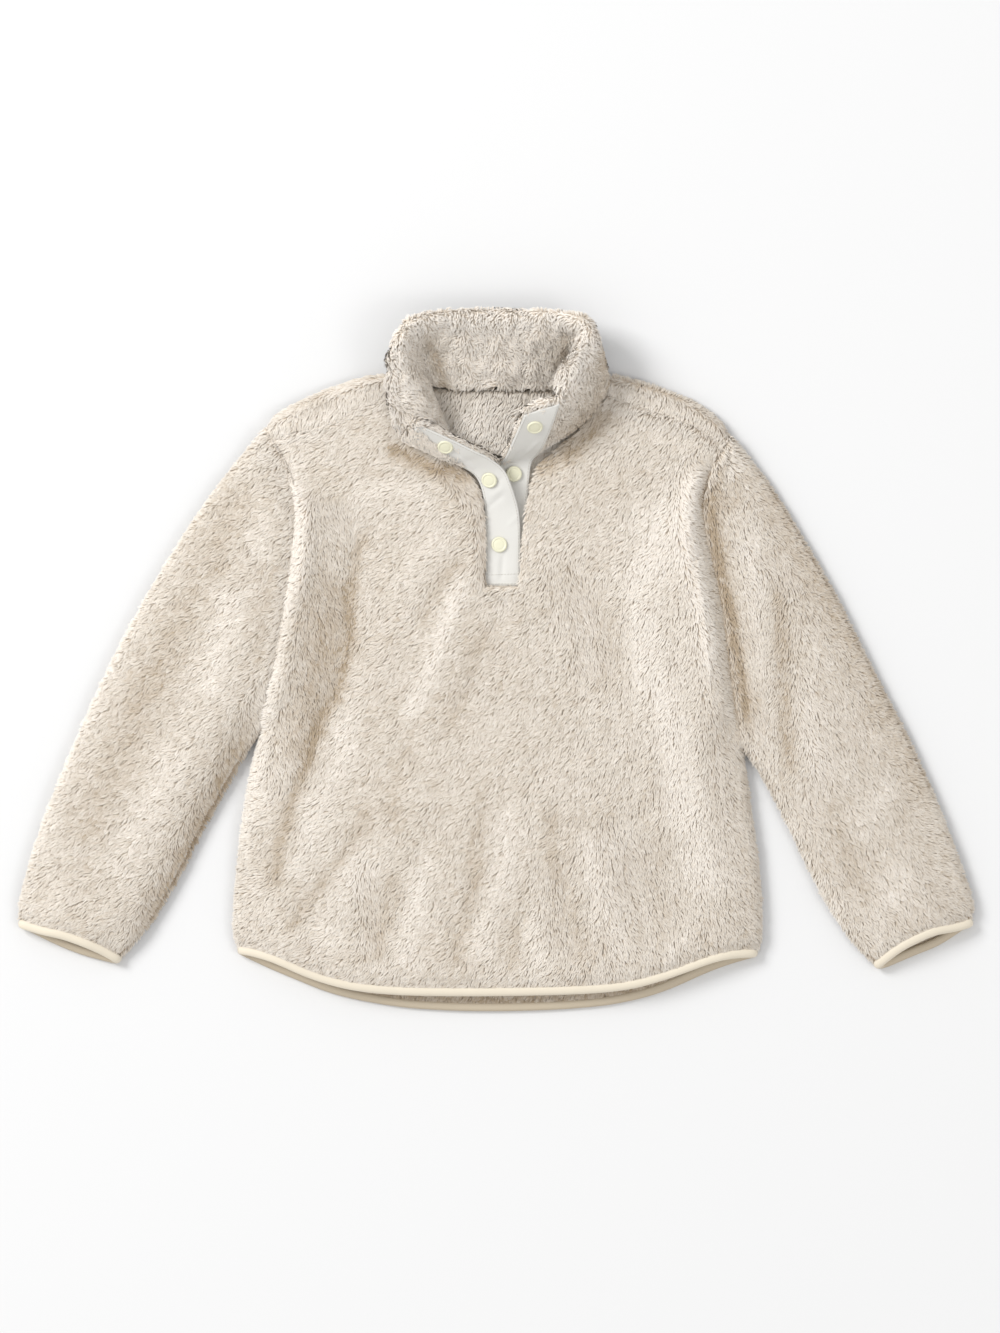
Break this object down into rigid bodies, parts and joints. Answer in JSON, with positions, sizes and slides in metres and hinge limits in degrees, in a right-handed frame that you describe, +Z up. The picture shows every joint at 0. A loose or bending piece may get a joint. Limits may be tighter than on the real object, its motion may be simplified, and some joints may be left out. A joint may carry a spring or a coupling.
{
  "type": "sherpa fleece pullover",
  "caption": "Long-sleeved pile fleece pullover lying flat on its back, with an open stand collar, a part-open snap placket, and bound cuffs and hem.",
  "frame": {"origin": "on the floor under the middle of the body, where the back's underside rests", "axes": "+Y from the hem to the neck, +X to the viewer's right across the chest, +Z up off the floor, out of the front"},
  "size_m": [0.9925, 0.728, 0.0735],
  "materials": {
    "fleece": "high pile sherpa, matte",
    "twill": "woven tape, matte",
    "binding": "smooth knitted binding, low sheen",
    "snap": "moulded, soft gloss"
  },
  "bodies": {
    "root": {"front": "fleece", "back": "fleece", "sleeve_left": "fleece", "sleeve_right": "fleece", "collar": "fleece", "placket_over": "twill", "placket_under": "twill", "binding_hem": "binding", "binding_cuff_left": "binding", "binding_cuff_right": "binding", "snap_cap_1": "snap", "snap_cap_2": "snap", "snap_cap_3": "snap", "snap_stud_1": "snap", "snap_stud_2": "snap"}
  },
  "joints": []
}
